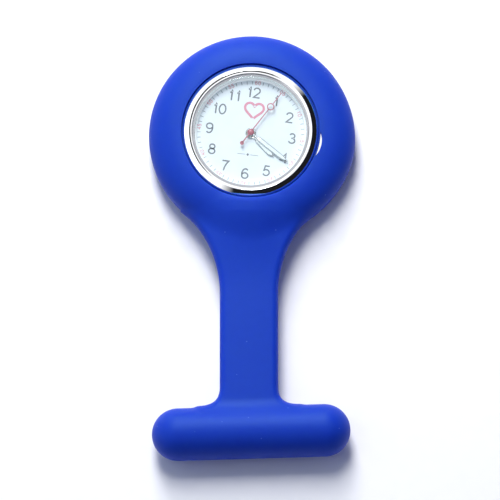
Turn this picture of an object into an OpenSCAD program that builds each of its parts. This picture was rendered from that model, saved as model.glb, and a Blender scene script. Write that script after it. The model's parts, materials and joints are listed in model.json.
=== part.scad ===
// Fob watch: a quartz watch head in a moulded silicone holder that hangs from a
// bar with a brooch pin on its back. It lies on its back here. +Z points out of
// the dial, +Y to twelve o'clock and away from the bar, and the origin is on the
// dial's axis, in the plane of the holder's back. Millimetres.

/* [Holder] */
// Radius of the round holder
holder_r = 21.2; // [20.8:0.1:21.6]
// Height of the holder's soft crest above its back
holder_h = 9.5; // [9.4:0.1:10]
// Width of the strap
strap_w = 12; // [10:0.5:13]
// Thickness of the strap
strap_t = 3.2; // [2.8:0.1:3.4]
// Length of the bar
bar_l = 40.7; // [39:0.1:46]
// Width of the bar, seen from the front
bar_w = 10.8; // [10.6:0.1:11.4]
// Distance from the dial's axis to the bar's axis
bar_y = 62.5; // [60:0.5:68]
// Distance from the dial's axis to the line where the strap flexes
flex_y = 40; // [38:0.5:42]

/* [Watch head] */
// Radius of the case
case_r = 13.8; // [13.8:0.05:14]
// Radius of the dial
dial_r = 11.5; // [11.4:0.05:11.5]
// Radius of the crown
crown_r = 1.9; // [1.7:0.1:2]
// Number of grooves round the crown
crown_grooves = 24; // [18:1:28]
// Turn of the watch head in its holder, clockwise in degrees
head_turn = 8; // [0:1:12]
// Furthest turn of the head either way from where it rests, in degrees
head_swing = 8; // [5:1:8]

/* [Time shown] */
// Hour at rest
hour_now = 4; // [0:1:11]
// Minute at rest
minute_now = 20.2; // [0:0.1:59.9]
// Second at rest
second_now = 4.9; // [0:0.1:59.9]

/* [Hands] */
// Length of the hour hand from the centre
hour_l = 7; // [6:0.1:7.4]
// Length of the minute hand from the centre
minute_l = 10; // [9:0.1:10.5]
// Length of the second hand from the centre
second_l = 10.3; // [9:0.1:10.6]

/* [Brooch] */
// Radius of the pin
pin_r = 0.4; // [0.35:0.01:0.42]
// Height of the pin's axis above the back plane
pin_z = 1.45; // [1.42:0.01:1.5]

/* [Hidden] */
$fn = 64;
cut = 0.05; // how far a cutting shape runs past the face it opens
lap = 0.1; // how far one shape of a solid runs into the next
fit = 0.02; // gap between parts that are fixed together
run = 0.04; // gap between parts that turn or slide on each other

// Silicone holder
back_t = 1.5; // floor behind the watch head
back_hole_r = 9; // opening that shows the steel back
pocket_r = case_r + 0.1;
pocket_top = 8.6;
lip_r = case_r - 0.25;
lip_z = holder_h - 0.5;
lip_edge_r = case_r + 0.55;
lip_round = 0.2;
crest_r = lip_edge_r + 0.15;
wall_low = 3; // the outer wall is upright between these two heights
wall_high = 4.5;
foot_r = holder_r - 2.5;
strap_z = 4.2;
neck_r = 27; // hollow curve from the holder into the strap
neck_in = 0.4; // how far that curve runs into the holder
neck_c = [
    strap_w / 2 + neck_r,
    -sqrt(pow(holder_r + neck_r - neck_in, 2) - pow(strap_w / 2 + neck_r, 2))
];
flex_gap = 0.05; // half the gap between the two ends of the strap
bar_r = bar_w / 2;
bar_z = 4.5; // the bar's axis
bar_back = 2.9; // the bar's flat back
bar_fillet = 4.2; // hollow curve from the strap into the bar

// Crown pocket in the holder
crown_z = 4.5;
crown_in = case_r + 0.3; // inner face of the crown
crown_out = case_r + 2.2; // outer face of the crown
crown_bore = 1.25; // hollow that runs over the tube
crown_groove_r = 0.11;
crown_room = 0.4;
crown_pull_room = 1.3; // free space beyond the crown, into which it is pulled
crown_half = asin((crown_r + crown_room) / case_r) + head_swing;
slot_turn = head_turn + 3; // the slot over the crown, clockwise from three o'clock
slot_half_angle = 13;
slot_in = lip_edge_r + 0.1;
slot_out = slot_in + 0.6; // at its middle
slot_chord = slot_in * sin(slot_half_angle);
slot_bow = slot_out - slot_in * cos(slot_half_angle);
slot_r = (pow(slot_chord, 2) + pow(slot_bow, 2)) / (2 * slot_bow); // curve of its outer edge

// Brooch
hinge_x = -13;
catch_x = 12;
strip_l = 32;
strip_w = 5;
strip_z = 3.6;
strip_t = 0.6;
rivet_r = 0.33;
eye_r = 0.85;
eye_w = 1.2;
ear_t = 0.45;
ear_r = 0.9;
ear_gap = 0.05;
rivet_head = [0.6, 0.25]; // radius and thickness
root_r = 0.7; // the pin tapers from here to its straight length
pin_wall = [-11.2, 10.8]; // the pin's straight length
pin_tip = 13.3;
catch_w = 0.9;
catch_ring = [1, 1.4]; // inner and outer radius
post_w = 1.8;
catch_flange = 1.25;
catch_flange_t = 0.35;
catch_bore = 0.5;
catch_slot = 0.88;
window = [3, 3.8]; // openings in the bar's back for the hinge and the catch
window_x = [hinge_x, catch_x + 0.5];

// Case, from the back up
back_z = 1.6;
cover_z = 2.1; // inner face of the case back
bore_z = 3;
bore_r = 11.6;
recess_r = 12.6;
ledge_z = 7.9;
ledge_r = 11.45;
bezel_z = 8.3;
bezel_h = 1.4;
glass_r = 11.6;
glass_top = 9.3;
seat_r = 12; // inner wall of the bezel
tube_r = 0.9;
tube_bore = 0.5;
cord_r = 0.14; // crown gasket
tube_x = [11.75, 15.3];
guard_half = 15; // half the angle of the guard over the crown
guard_r = [14.5, 15.05]; // its upright rib
guard_z = [6.7, 8.95];
guard_foot = 8; // top of the foot that joins it to the case
guard_gap = 0.1;

// Levels of the dial and the hands
dial_z = 6.5;
dial_t = 0.35;
hour_z = 7.05;
minute_z = 7.4;
second_z = 7.85;
hand_t = 0.2;
second_t = 0.12;
dial_hole_r = 1;

// Movement plates
plate_r = 10.4;
plate_z = [4.35, 6.45];
floor_z = 4.85; // floor of the recess under the dial
bridge_z = [2.45, 2.75];
head_z = 2.15; // lowest face of the screw heads
pillar_r = 0.7;
screw_r = 0.3;
screw_head_r = 0.55;
cover_screw_head = 0.23; // thickness
pivot_r = 0.1;
board_z = [2.85, 3.15];
stator_z = [3.45, 3.75];
stator_w = 1.2;
stator_ring = [1.15, 1.85];
core_z = [3.15, 3.4];
core_w = 1;
winding_r = 0.9;
winding_x = [-4.9, 0.6];
bridge_screws = [[5.2, 3], [0.2, -4.9], [6.4, -3.4]];
coil_screws = [[-5.8, 7.2], [3.4, 7.2]];
board_screw = [-8.7, 1.4];
clamp_screw = [-1, -7.4];
cover_screw = [7.6, -1.9];
battery_at = [-5.6, -3.6];
battery_r = 3.4;
battery_z = [2.6, 5.2];
dial_feet = [[-7.4, 4.6], [5.6, -7.4]];
foot_pin_r = 0.35;

// Going train. Each wheel has its teeth, its pinion's teeth and its place
rotor_teeth = 8;
step_teeth = 48;
step_pinion = 10;
seconds_teeth = 50;
seconds_pinion = 8;
third_teeth = 60;
third_pinion = 8;
centre_teeth = 64;
step_m = 0.09; // gear modules
seconds_m = 0.1;
centre_m = 0.083;
third_reach = centre_m * (third_pinion + centre_teeth) / 2; // between the two axes
third_m = 2 * third_reach / (seconds_pinion + third_teeth);
step_at = [1.5, 2.6];
rotor_at = [2.15, 5.03];
third_bearing = -30;
third_at = third_reach * [cos(third_bearing), sin(third_bearing)];
arbor_r = 0.2;
seconds_arbor_r = 0.15;
centre_pipe_r = 0.29;
magnet_r = 0.9;
magnet_z = [3.35, 3.85];
rotor_pinion_z = [2.85, 3.25];
step_wheel_z = [2.95, 3.1];
step_pinion_z = [3.15, 3.6];
seconds_wheel_z = [3.3, 3.45];
seconds_pinion_z = [3.5, 3.95];
third_wheel_z = [3.65, 3.8];
third_pinion_z = [3.85, 4.25];
centre_wheel_z = [3.98, 4.12];

// Motion work and setting work
cannon_teeth = 12;
minute_teeth = 36;
minute_pinion = 10;
hour_teeth = 40;
setting_teeth = 24;
motion_m = 0.1;
minute_at = [(cannon_teeth + minute_teeth) * motion_m / 2, 0];
hour_m = 2 * minute_at[0] / (minute_pinion + hour_teeth);
setting_at = minute_at + [(minute_teeth + setting_teeth) * motion_m / 2, 0];
cannon_z = [floor_z + 0.05, 5.15];
cannon_pipe_r = 0.43;
minute_wheel_z = [4.92, 5.07];
minute_pinion_z = [5, 5.5];
minute_stud_r = 0.2;
setting_wheel_z = [4.93, 5.12];
setting_stud_r = 0.3;
hour_wheel_z = [5.2, 5.35];
hour_pipe_r = 0.75;
lever_at = [9.2, 2];
lever_nose = [8.8, 0.4];
yoke_at = [7.5, 3];
yoke_nose = [7.75, 0.68];
lever_z = [4.9, 5.2];
lever_stud_r = 0.25;
lever_nose_r = 0.12;
lever_nose_z = 4.3; // the noses reach down to here, into the grooves
clutch_x = [7.2, 8.3];
clutch_r = 0.7;
clutch_groove_r = 0.5;
stem_groove_r = 0.2;
stem_x = [5.5, crown_out - 0.3];
cover_plate_z = [5.25, 5.5];
stem_way = 1.1; // half the width of the opening for the stem
stem_way_x = 6.6;
keyless_r = 10.1; // the setting recess stops inside the plate's rim
stem_r = 0.45;
stem_thin_r = 0.3;

// Teeth, in modules and in parts of the pitch
tooth_tip = 0.95;
tooth_root = 1.2;
tip_share = 0.11;
root_share = 0.29;

// Hands
hour_hub = 1.25;
minute_hub = 1.05;
second_hub = 0.8;
hour_blade = [0.55, 0.25]; // half widths of the blade and its neck
minute_blade = [0.48, 0.22];
needle = [0.14, 0.08]; // half widths of the second hand at its tail and its tip
eye_ring = [0.56, 0.82]; // the open ring on the second hand
eye_ring_y = 6.6;
tail_y = -2.9;
tail_r = 0.45;

// ---------------------------------------------------------------- helpers

// Points round part of an oval
function oval(c, rx, ry, a0, a1, n) = [
    for (i = [0:n]) let (a = a0 + (a1 - a0) * i / n) c + [rx * cos(a), ry * sin(a)]
];

// Points round part of a circle
function arc(c, r, a0, a1, n) = oval(c, r, r, a0, a1, n);

// The same points on the other side of the Y axis, in the opposite order
function mirrored(points) = [
    for (i = [len(points) - 1:-1:0]) [-points[i][0], points[i][1]]
];

// Direction from one point to another, in degrees
function bearing(p, q) = atan2(q[1] - p[1], q[0] - p[0]);

// Angle of the first tooth of gear b, so that it meshes with gear a at bearing g
function mesh(g, teeth_a, phase_a, teeth_b) =
    g + 180 - 360 / teeth_b * (0.5 - (g - phase_a) * teeth_a / 360);

module slab(z) {
    translate([0, 0, z[0]]) linear_extrude(z[1] - z[0]) children();
}

module disc(r, z) {
    translate([0, 0, z[0]]) cylinder(r = r, h = z[1] - z[0]);
}

module ring(r, z) {
    difference() {
        disc(r[1], z);
        disc(r[0], [z[0] - cut, z[1] + cut]);
    }
}

module at(p) {
    translate([p[0], p[1], 0]) children();
}

// Part of a turned shape, to the same angle on both sides of the X axis
module sector(half) {
    rotate([0, 0, -half]) rotate_extrude(angle = 2 * half) children();
}

// A rod along X, at the height z
module rod_x(r, x, z) {
    translate([x[0], 0, z]) rotate([0, 90, 0]) cylinder(r = r, h = x[1] - x[0]);
}

// A turned shape about an axis along X, from points of radius and place
module turned_x(points, z) {
    translate([0, 0, z]) rotate([0, 90, 0]) rotate_extrude() polygon(points);
}

// A flat arm that narrows from one round end to the other
module arm(p, rp, q, rq) {
    n = [p[1] - q[1], q[0] - p[0]] / norm(q - p) * 0.97;
    translate(p) circle(rp);
    translate(q) circle(rq);
    polygon([p + n * rp, q + n * rq, q - n * rq, p - n * rp]);
}

// Outline of a toothed wheel whose first tooth points at the angle phase
module gear(teeth, m, phase) {
    shares = [-root_share, -tip_share, tip_share, root_share];
    heights = [-tooth_root, tooth_tip, tooth_tip, -tooth_root];
    polygon([
        for (i = [0:teeth - 1], k = [0:3])
            let (a = phase + 360 / teeth * (i + shares[k]))
            (teeth / 2 + heights[k]) * m * [cos(a), sin(a)]
    ]);
}

// The watch head sits turned in its holder
module in_head() {
    rotate([0, 0, -head_turn]) children();
}

// A hand is drawn along +Y and turned clockwise from twelve o'clock
module pointing(degrees) {
    in_head() rotate([0, 0, -degrees]) children();
}

// ---------------------------------------------------------------- holder

module holder_outside() {
    rotate_extrude() polygon(concat(
        [[0, 0]],
        oval([foot_r, wall_low], holder_r - foot_r, wall_low, -90, 0, 8),
        oval([crest_r, wall_high], holder_r - crest_r, holder_h - wall_high, 0, 90, 16),
        oval([crest_r, holder_h - lip_round], crest_r - lip_edge_r, lip_round, 100, 170, 5),
        [[lip_edge_r, lip_z], [0, lip_z]]
    ));
}

// Crescent opening beside the lip, through which the crown shows
module crown_slot() {
    rotate([0, 0, -slot_turn]) slab([crown_z, holder_h + 1]) difference() {
        translate([slot_out - slot_r, 0]) circle(slot_r);
        circle(slot_in);
    }
}

module holder_pocket() {
    far = crown_out + crown_pull_room;
    crown_space = crown_r + crown_room;
    rotate_extrude() polygon([
        [0, back_t], [pocket_r, back_t], [pocket_r, pocket_top], [lip_r, lip_z],
        [lip_edge_r - 0.05, holder_h - lip_round], [lip_edge_r + 0.15, holder_h + 1], [0, holder_h + 1]
    ]);
    disc(back_hole_r, [-cut, back_t + cut]);
    in_head() sector(crown_half) polygon([
        [lip_r, crown_z - crown_space], [far, crown_z - crown_space],
        [far, crown_z + crown_space], [lip_r, crown_z + crown_space]
    ]);
    in_head() sector(guard_half + head_swing + 1) polygon([
        [lip_r + lap, crown_z], [guard_r[1] + lap, crown_z], [guard_r[1] + lap, guard_z[1] + lap],
        [guard_r[0] - guard_gap, guard_z[1] + lap], [guard_r[0] - guard_gap, guard_foot + 0.4],
        [lip_r + lap, guard_foot + 0.4]
    ]);
    crown_slot();
}

module holder_head() {
    meet = bearing(neck_c, [0, 0]);
    side = concat(
        [[strap_w / 2, -flex_y + flex_gap]],
        arc(neck_c, neck_r, 180, meet, 12),
        [[strap_w, -case_r]]
    );
    color("royalblue") difference() {
        union() {
            holder_outside();
            slab([strap_z, strap_z + strap_t]) polygon(concat(side, mirrored(side)));
        }
        holder_pocket();
    }
}

module holder_bar() {
    half = bar_l / 2;
    front = -bar_y + bar_r;
    root = strap_w / 2 + bar_fillet;
    side = concat(
        arc([root, front + bar_fillet], bar_fillet, 270, 180, 8),
        [[strap_w / 2, -flex_y - flex_gap]]
    );
    strap = concat([[root, -bar_y]], side, mirrored(side), [[-root, -bar_y]]);
    color("royalblue") difference() {
        union() {
            translate([0, -bar_y, 0]) turned_x(concat(
                arc([0, -half + bar_r], bar_r, -90, 0, 10),
                arc([0, half - bar_r], bar_r, 0, 90, 10)
            ), bar_z);
            slab([strap_z, strap_z + strap_t]) polygon(strap);
        }
        translate([-half, -bar_y - bar_r - 1, bar_back - bar_w]) cube([bar_l, bar_w + 2, bar_w]);
        at([0, -bar_y]) slab([strip_z - run, strip_z + strip_t + run])
            offset(delta = lap) square([strip_l, strip_w], center = true);
        for (x = window_x) at([x, -bar_y]) slab([bar_back - cut, strip_z]) square(window, center = true);
    }
}

// ---------------------------------------------------------------- brooch

// The base strip lies inside the bar; its ears and its open catch ring stand out behind
module brooch_base() {
    post = [catch_x, catch_x + catch_w];
    up = strip_z + lap - pin_z; // from the pin's axis into the strip
    color("gainsboro") translate([0, -bar_y, 0]) {
        slab([strip_z, strip_z + strip_t]) {
            square([strip_l - strip_w, strip_w], center = true);
            for (s = [-1, 1])
                translate([s * (strip_l - strip_w) / 2, 0]) circle(strip_w / 2);
        }
        for (s = [-1, 1]) translate([0, s * (eye_w / 2 + ear_gap + ear_t / 2), 0])
            rotate([90, 0, 0]) linear_extrude(ear_t, center = true) difference() {
                union() {
                    translate([hinge_x, pin_z]) circle(ear_r);
                    translate([hinge_x - ear_r, pin_z]) square([2 * ear_r, up]);
                }
                translate([hinge_x, pin_z]) circle(rivet_r + fit);
            }
        difference() {
            union() {
                rod_x(catch_ring[1], post, pin_z);
                translate([post[0], -post_w / 2, pin_z]) cube([catch_w, post_w, up]);
            }
            rod_x(catch_ring[0], [post[0] - 1, post[1] + 1], pin_z);
            translate([post[0] - 1, -0.6, -1]) cube([catch_w + 2, 1.2, pin_z + 1]);
        }
    }
}

// Hinge rivet with a head at each end
module brooch_rivet() {
    grip = eye_w / 2 + ear_gap + ear_t + fit;
    color("silver") translate([hinge_x, -bar_y, pin_z]) rotate([90, 0, 0]) {
        disc(rivet_r, [-grip - lap, grip + lap]);
        disc(rivet_head[0], [grip, grip + rivet_head[1]]);
        disc(rivet_head[0], [-grip - rivet_head[1], -grip]);
    }
}

// Straight wire with a tapered root, an eye round the rivet and a sharp tip
module brooch_pin() {
    root = hinge_x + 0.5;
    color("silver") translate([0, -bar_y, 0]) difference() {
        union() {
            translate([hinge_x, 0, pin_z]) rotate([90, 0, 0]) disc(eye_r, [-eye_w / 2, eye_w / 2]);
            turned_x([
                [0, root], [root_r, root], [pin_r, pin_wall[0]], [pin_r, pin_wall[1]],
                [0.75 * pin_r, pin_wall[1] + 0.9], [0.06, pin_tip], [0, pin_tip]
            ], pin_z);
        }
        translate([hinge_x, 0, pin_z]) rotate([90, 0, 0]) disc(rivet_r + 0.05, [-1, 1]);
    }
}

// Safety rotor: a split sleeve with a thumb tab. Its slot faces back when it is open
module brooch_catch() {
    gap = 0.05;
    tab_reach = 2.3;
    front = catch_x - catch_flange_t;
    back = catch_x + catch_w;
    color("gainsboro") translate([0, -bar_y, 0]) difference() {
        union() {
            rod_x(catch_flange, [front, front + catch_flange_t - gap], pin_z);
            rod_x(catch_ring[0] - run, [front, back + catch_flange_t], pin_z);
            rod_x(catch_flange, [back + gap, back + catch_flange_t], pin_z);
            translate([back + gap, -tab_reach, pin_z - 0.35]) cube([catch_flange_t - gap, 1.6, 0.7]);
        }
        rod_x(catch_bore, [front - 1, back + 1], pin_z);
        translate([front - 1, -catch_slot / 2, -1]) cube([catch_w + 3, catch_slot, pin_z + 1]);
    }
}

// ---------------------------------------------------------------- case

// Turned band with a guard over the crown, whose rib shows through the holder's slot
module case_body() {
    top = bezel_z - fit;
    color("silver") in_head() difference() {
        union() {
            rotate_extrude() polygon([
                [bore_r, bore_z], [recess_r, bore_z], [recess_r, back_z], [case_r - 0.3, back_z],
                [case_r, back_z + 0.3], [case_r, top - 0.2], [case_r - 0.2, top], [ledge_r, top],
                [ledge_r, ledge_z], [bore_r, ledge_z]
            ]);
            sector(guard_half) polygon([
                [case_r - lap, guard_z[0]], [guard_r[1], guard_z[0]], [guard_r[1], guard_z[1]],
                [guard_r[0], guard_z[1]], [guard_r[0], guard_foot], [case_r - lap, guard_foot]
            ]);
        }
        rod_x(tube_r + fit, [bore_r - 1, case_r + 1], crown_z);
    }
}

// Polished ring with a rounded rim, a fine groove and a slope down to the glass
module bezel() {
    rim = case_r - 0.05;
    top = bezel_z + bezel_h;
    color("white") in_head() rotate_extrude() polygon([
        [seat_r, bezel_z], [rim, bezel_z], [rim, bezel_z + 0.25], [rim - 0.35, bezel_z + 0.8],
        [rim - 0.6, top - 0.1], [rim - 0.8, top], [rim - 1, top - 0.1], [rim - 1.05, top - 0.3],
        [rim - 1.15, top - 0.2], [seat_r, glass_top]
    ]);
}

module crystal() {
    color("azure", 0.35) in_head() rotate_extrude() polygon([
        [0, bezel_z + fit], [glass_r, bezel_z + fit], [glass_r, glass_top - 0.15],
        [glass_r - 0.15, glass_top], [0, glass_top]
    ]);
}

module crystal_gasket() {
    color("gray") in_head()
        ring([glass_r + fit, seat_r - fit], [bezel_z + fit, glass_top - 0.1]);
}

// Sloped ring that stands between the dial and the glass
module dial_ring() {
    low = dial_z + dial_t + fit;
    color("whitesmoke") in_head() rotate_extrude() polygon([
        [dial_r - 0.3, low], [bore_r - 0.05, low], [bore_r - 0.05, ledge_z - fit],
        [ledge_r - 0.05, ledge_z - fit]
    ]);
}

module dial() {
    color("white") in_head() {
        difference() {
            disc(dial_r, [dial_z, dial_z + dial_t]);
            disc(dial_hole_r, [dial_z - cut, dial_z + dial_t + cut]);
        }
        for (p = dial_feet) at(p) disc(foot_pin_r, [plate_z[0] + 0.3, dial_z + lap]);
    }
}

// Snap-on steel back
module caseback() {
    color("silver") in_head() {
        rotate_extrude() polygon([
            [0, back_z], [recess_r - 0.35, back_z], [recess_r - 0.05, back_z + 0.2],
            [recess_r - 0.05, cover_z], [0, cover_z]
        ]);
        ring([bore_r - 0.7, bore_r - 0.1], [cover_z - lap, bore_z - 0.05]);
    }
}

module caseback_gasket() {
    color("dimgray") in_head()
        ring([bore_r + fit, recess_r - 0.1], [cover_z + fit, bore_z - fit]);
}

// Plastic ring that centres the movement in the case
module movement_ring() {
    color("white") in_head() difference() {
        ring([plate_r + 0.05, bore_r - 0.1], [bore_z + 0.1, plate_z[1] - 0.05]);
        rod_x(stem_r + 0.15, [plate_r - 1, bore_r + 1], crown_z);
    }
}

// ---------------------------------------------------------------- crown

module stem_tube() {
    color("silver") in_head() difference() {
        rod_x(tube_r, tube_x, crown_z);
        rod_x(tube_bore, [tube_x[0] - 1, tube_x[1] + 1], crown_z);
    }
}

module crown() {
    color("silver") in_head() difference() {
        turned_x([
            [0, crown_in], [crown_r - 0.15, crown_in], [crown_r, crown_in + 0.2],
            [crown_r, crown_out - 0.35], [crown_r - 0.35, crown_out], [0, crown_out]
        ], crown_z);
        rod_x(crown_bore, [crown_in - 1, tube_x[1] + 0.1], crown_z);
        rod_x(stem_r + fit, [crown_in, crown_out - 0.25], crown_z);
        for (i = [0:crown_grooves - 1]) {
            a = 360 * i / crown_grooves;
            translate([0, crown_r * cos(a), crown_r * sin(a)])
                rod_x(crown_groove_r, [crown_in - 1, crown_out + 1], crown_z);
        }
    }
}

// Rubber ring in the crown's hollow, round the tube
module crown_gasket() {
    color("dimgray") in_head() translate([crown_in + 0.25, 0, crown_z])
        rotate([0, 90, 0]) rotate_extrude() translate([tube_r + cord_r + run, 0]) circle(cord_r);
}

// Winding stem with a groove for the setting lever and a thin inner end
module stem() {
    groove = [lever_nose[0] - 0.22, lever_nose[0] + 0.22];
    shoulder = groove[0] - 0.25;
    color("silver") in_head() turned_x([
        [0, stem_x[0]], [stem_thin_r, stem_x[0]], [stem_thin_r, shoulder], [stem_r, shoulder],
        [stem_r, groove[0]], [stem_groove_r, groove[0]], [stem_groove_r, groove[1]],
        [stem_r, groove[1]], [stem_r, stem_x[1]], [0, stem_x[1]]
    ], crown_z);
}

// ---------------------------------------------------------------- movement plates

module cover_outline() {
    intersection() {
        circle(plate_r - 0.25);
        polygon([[4.4, -2.6], [9.9, -2.6], [9.9, 3.2], [8.6, 4.4], [6.4, 4.4], [4.4, 1.9]]);
    }
}

module keyless_outline() {
    intersection() {
        circle(keyless_r);
        translate([6.2, -stem_way]) square([4.5, stem_way + 3.8]);
    }
}

// Plate that carries the whole movement, with a recess for the motion work
module main_plate() {
    studs = [
        [minute_at, minute_stud_r], [setting_at, setting_stud_r], [yoke_at, lever_stud_r],
        [lever_at, lever_stud_r]
    ];
    low = plate_z[0] + lap;
    color("gainsboro") in_head() difference() {
        union() {
            difference() {
                disc(plate_r, plate_z);
                disc(2.2, [floor_z, plate_z[1] + cut]);
                at(minute_at) disc(2.05, [floor_z, plate_z[1] + cut]);
                at(setting_at) disc(1.45, [floor_z, plate_z[1] + cut]);
                slab([floor_z, plate_z[1] + cut]) keyless_outline();
                slab([cover_plate_z[0] - fit, plate_z[1] + cut]) offset(delta = 0.05) cover_outline();
            }
            for (p = bridge_screws) at(p) disc(pillar_r, [bridge_z[1] + fit, low]);
            for (p = coil_screws) at(p) disc(pillar_r, [stator_z[1] + fit, low]);
            at(board_screw) disc(pillar_r, [board_z[1] + fit, low]);
            at(clamp_screw) disc(pillar_r, [battery_z[0] - fit, low]);
            translate([5.4, -0.8, 3.95]) cube([stem_way_x - 5.4, 1.6, low - 3.95]);
            for (s = studs) at(s[0]) disc(s[1], [floor_z - lap, cover_plate_z[0] - 0.05]);
        }
        for (p = concat(bridge_screws, coil_screws, [board_screw, clamp_screw]))
            at(p) disc(screw_r + fit, [2, plate_z[0] + 0.45]);
        at(cover_screw) disc(screw_r + fit, [plate_z[0] + 0.15, plate_z[1] + cut]);
        at(battery_at) disc(battery_r + 0.15, [plate_z[0] - cut, battery_z[1] + 0.15]);
        translate([stem_way_x, -stem_way, 3]) cube([5, 2 * stem_way, 3]);
        rod_x(stem_thin_r + run, [5, stem_way_x + 1], crown_z);
        disc(centre_pipe_r + 0.05, [plate_z[0] - cut, floor_z + cut]);
        for (p = [step_at, rotor_at, third_at])
            at(p) disc(pivot_r + run, [plate_z[0] - cut, plate_z[0] + 0.35]);
        for (p = dial_feet) at(p) disc(foot_pin_r + fit, [plate_z[0] - cut, plate_z[1] + cut]);
    }
}

// Bridge that carries the lower pivots of the train
module train_bridge() {
    outline = [
        [-1.2, -5.6], [0.2, -6], [6.8, -4.5], [7.3, -3.2], [6.2, 3.4], [4.8, 4.1],
        [3.2, 6], [1.2, 6], [0, 3.4], [-1.4, 0.6]
    ];
    color("gainsboro") in_head() difference() {
        slab(bridge_z) polygon(outline);
        for (p = [[0, 0], step_at, rotor_at, third_at])
            at(p) disc(pivot_r + run, [bridge_z[0] - cut, bridge_z[1] + cut]);
        for (p = bridge_screws) at(p) disc(screw_r + 0.05, [bridge_z[0] - cut, bridge_z[1] + cut]);
    }
}

// Plate over the setting work
module setting_cover() {
    color("gainsboro") in_head() difference() {
        slab(cover_plate_z) difference() {
            cover_outline();
            translate([4, -0.9]) square([1.2, 1.8]);
        }
        at(cover_screw) disc(screw_r + 0.05, [5, 6]);
    }
}

// Slotted screw at a place, from the face it clamps up to its tip
module screw(p, face, tip) {
    at(p) {
        difference() {
            disc(screw_head_r, [head_z, face - fit]);
            translate([-0.6, -0.09, head_z - cut]) cube([1.2, 0.18, 0.13]);
        }
        disc(screw_r, [face - fit - 0.05, tip]);
    }
}

module movement_screws() {
    tip = plate_z[0] + 0.4;
    color("silver") in_head() {
        for (p = bridge_screws) screw(p, bridge_z[0], tip);
        for (p = coil_screws) translate([0, 0, core_z[0] - bridge_z[0]])
            screw(p, bridge_z[0], tip - core_z[0] + bridge_z[0]);
        translate([0, 0, board_z[0] - bridge_z[0]])
            screw(board_screw, bridge_z[0], tip - board_z[0] + bridge_z[0]);
        screw(clamp_screw, bridge_z[0] - 0.05, tip);
        at(cover_screw) {
            disc(screw_r, [plate_z[0] + 0.2, cover_plate_z[1] + 0.05]);
            disc(screw_head_r, [cover_plate_z[1] + fit, cover_plate_z[1] + fit + cover_screw_head]);
        }
    }
}

// ---------------------------------------------------------------- electrics

module circuit_board() {
    color("darkgreen") in_head() difference() {
        slab(board_z) intersection() {
            circle(plate_r - 0.3);
            translate([-9.9, 0.3]) square([6.5, 5.3]);
        }
        at(board_screw) disc(screw_r + 0.05, [2, 4]);
    }
}

module quartz_can() {
    color("silver") in_head() translate([0, 2.9, 0])
        rod_x(0.55, [-8.2, -3.6], board_z[1] + 0.57);
}

module ic_chip() {
    color("black") in_head() translate([-7.2, 2.2, board_z[0] - fit - 0.45]) cube([2, 2, 0.45]);
}

module battery() {
    color("lightgray") in_head() at(battery_at) {
        disc(battery_r, [battery_z[0], battery_z[1] - 0.5]);
        disc(battery_r - 0.6, [battery_z[1] - 0.6, battery_z[1]]);
    }
}

// Strap across the back of the cell
module battery_clamp() {
    z = [battery_z[0] - fit - 0.15, battery_z[0] - fit];
    color("silver") in_head() difference() {
        slab(z) hull() {
            translate(clamp_screw) circle(0.8, $fn = 32);
            translate(battery_at) circle(1.5, $fn = 32);
            translate(battery_at + [-1.6, 1.8]) circle(0.7, $fn = 32);
        }
        at(clamp_screw) disc(screw_r + 0.05, [2, 3]);
    }
}

// Leaf that touches the front of the cell
module battery_spring() {
    color("gold") in_head() slab([battery_z[1] + fit, battery_z[1] + 0.12]) hull() {
        translate(battery_at + [-1.8, -1.2]) circle(0.6, $fn = 32);
        translate(battery_at + [1.6, 1]) circle(0.35, $fn = 32);
    }
}

module coil_core() {
    pad = 1.2;
    x = [coil_screws[0][0] - pad / 2, coil_screws[1][0] + pad / 2];
    y = coil_screws[0][1];
    color("gray") in_head() difference() {
        slab(core_z) {
            translate([x[0], y - core_w / 2]) square([x[1] - x[0], core_w]);
            for (p = coil_screws) translate(p - [pad / 2, 0.7]) square([pad, 1.4]);
        }
        for (p = coil_screws) at(p) disc(screw_r + 0.05, [3, 4]);
    }
}

// The winding stops short of the rotor's side of the stator
module coil_winding() {
    middle = (core_z[0] + core_z[1]) / 2;
    hole = [winding_x[1] - winding_x[0] + 2, core_w + 0.1, core_z[1] - core_z[0] + 0.1];
    color("chocolate") in_head() translate([0, coil_screws[0][1], 0]) difference() {
        rod_x(winding_r, winding_x, middle);
        translate([(winding_x[0] + winding_x[1]) / 2, 0, middle]) cube(hole, center = true);
    }
}

// Soft iron plate that leads the coil's field round the rotor
module stator() {
    left = coil_screws[0];
    right = coil_screws[1];
    color("darkgray") in_head() difference() {
        slab(stator_z) {
            translate(left - [stator_w / 2, 2.7]) square([stator_w, 3.4]);
            translate([left[0] - stator_w / 2, 4.5]) square([rotor_at[0] - left[0], 1.1]);
            translate(right - [stator_w / 2, 2.4]) square([stator_w, 3.1]);
            translate(rotor_at) circle(stator_ring[1]);
        }
        at(rotor_at) disc(stator_ring[0], [3, 4]);
        for (p = coil_screws) at(p) disc(screw_r + 0.05, [3, 4]);
    }
}

// ---------------------------------------------------------------- going train

// Arbor with a thin pivot at each end, in the bridge and in the plate
module arbor() {
    disc(arbor_r, [bridge_z[1] + 0.05, plate_z[0] - 0.05]);
    disc(pivot_r, [bridge_z[0] + 0.05, plate_z[0] + 0.3]);
}

module rotor() {
    phase = mesh(bearing(step_at, rotor_at), step_teeth, 0, rotor_teeth);
    color("dimgray") in_head() at(rotor_at) {
        arbor();
        slab(rotor_pinion_z) gear(rotor_teeth, step_m, phase);
        disc(magnet_r, magnet_z);
    }
}

module step_wheel() {
    phase = mesh(bearing([0, 0], step_at), seconds_teeth, 0, step_pinion);
    color("goldenrod") in_head() at(step_at) {
        arbor();
        slab(step_wheel_z) gear(step_teeth, step_m, 0);
        slab(step_pinion_z) gear(step_pinion, seconds_m, phase);
    }
}

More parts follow.
